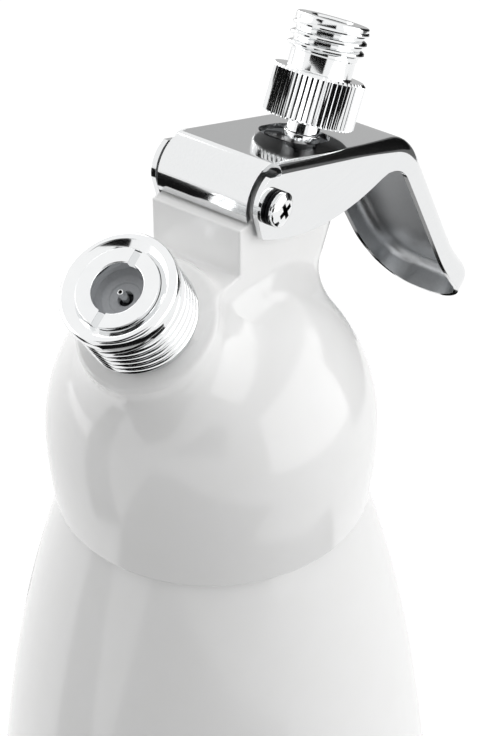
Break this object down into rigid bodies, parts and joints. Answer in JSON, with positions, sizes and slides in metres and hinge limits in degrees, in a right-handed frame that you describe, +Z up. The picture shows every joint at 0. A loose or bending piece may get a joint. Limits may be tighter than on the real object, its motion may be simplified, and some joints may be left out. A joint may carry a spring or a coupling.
{
  "type": "whipped cream dispenser",
  "caption": "Enamelled bottle with a domed screw-on head, a threaded charger inlet, a tilted valve stem with a knurled nozzle adapter, and a squeeze lever on a cross pivot.",
  "frame": {"origin": "centre of the bottle's flat base", "axes": "+Z up along the bottle's axis, +X towards the lever's handle, the charger inlet leans to -X, the lever's pivot lies along Y"},
  "size_m": [0.1322, 0.096, 0.3015],
  "materials": {
    "white_enamel": "glossy white enamel",
    "bright_chrome": "bright chrome plate",
    "polished_steel": "polished stainless steel",
    "spring_steel": "drawn stainless wire",
    "dark_steel": "dark oxidised steel",
    "grey_rubber": "matt grey silicone"
  },
  "bodies": {
    "bottle": {"bottle": "white_enamel"},
    "head": {"head": "white_enamel", "head_gasket": "grey_rubber", "guide_bush": "bright_chrome", "pivot_barrel": "bright_chrome", "pivot_screw": "bright_chrome", "near_washer": "dark_steel", "far_washer": "dark_steel", "inlet_nipple": "bright_chrome", "nipple_oring": "grey_rubber", "slotted_ring": "bright_chrome", "charger_gasket": "grey_rubber", "pin_holder": "dark_steel", "piercing_pin": "bright_chrome", "check_cage": "bright_chrome"},
    "lever": {"lever": "polished_steel"},
    "stem": {"valve_stem": "bright_chrome", "stem_oring": "grey_rubber", "valve_gasket": "grey_rubber", "gasket_nut": "bright_chrome", "valve_spring": "spring_steel"},
    "adapter": {"nozzle_adapter": "bright_chrome", "adapter_seal": "grey_rubber"},
    "poppet": {"check_poppet": "bright_chrome", "poppet_seal": "grey_rubber", "check_spring": "spring_steel"}
  },
  "joints": [
    {"name": "head_lift", "type": "slide", "parent": "bottle", "child": "head", "axis": [0, 0, 1], "range_m": [0, 0.032]},
    {"name": "lever_squeeze", "type": "hinge", "parent": "head", "child": "lever", "pos_m": [0.0035, 0, 0.2806], "axis": [0, 1, 0], "range_deg": [0, 9], "stiffness_Nm_per_rad": 3, "springref_deg": -5.73},
    {"name": "stem_press", "type": "slide", "parent": "head", "child": "stem", "axis": [-0.4571, 0, -0.8894], "range_m": [0, 0.004], "deforming": ["valve_spring"]},
    {"name": "adapter_lift", "type": "slide", "parent": "stem", "child": "adapter", "axis": [0.4571, 0, 0.8894], "range_m": [0, 0.012]},
    {"name": "poppet_press", "type": "slide", "parent": "head", "child": "poppet", "axis": [0.5373, 0, -0.8434], "range_m": [0, 0.0012], "stiffness_N_per_m": 200, "springref_m": -0.002, "deforming": ["check_spring"]}
  ],
  "couplings": [
    {"joint": "stem_press", "follows": "lever_squeeze", "m_per_rad": 0.023844}
  ]
}
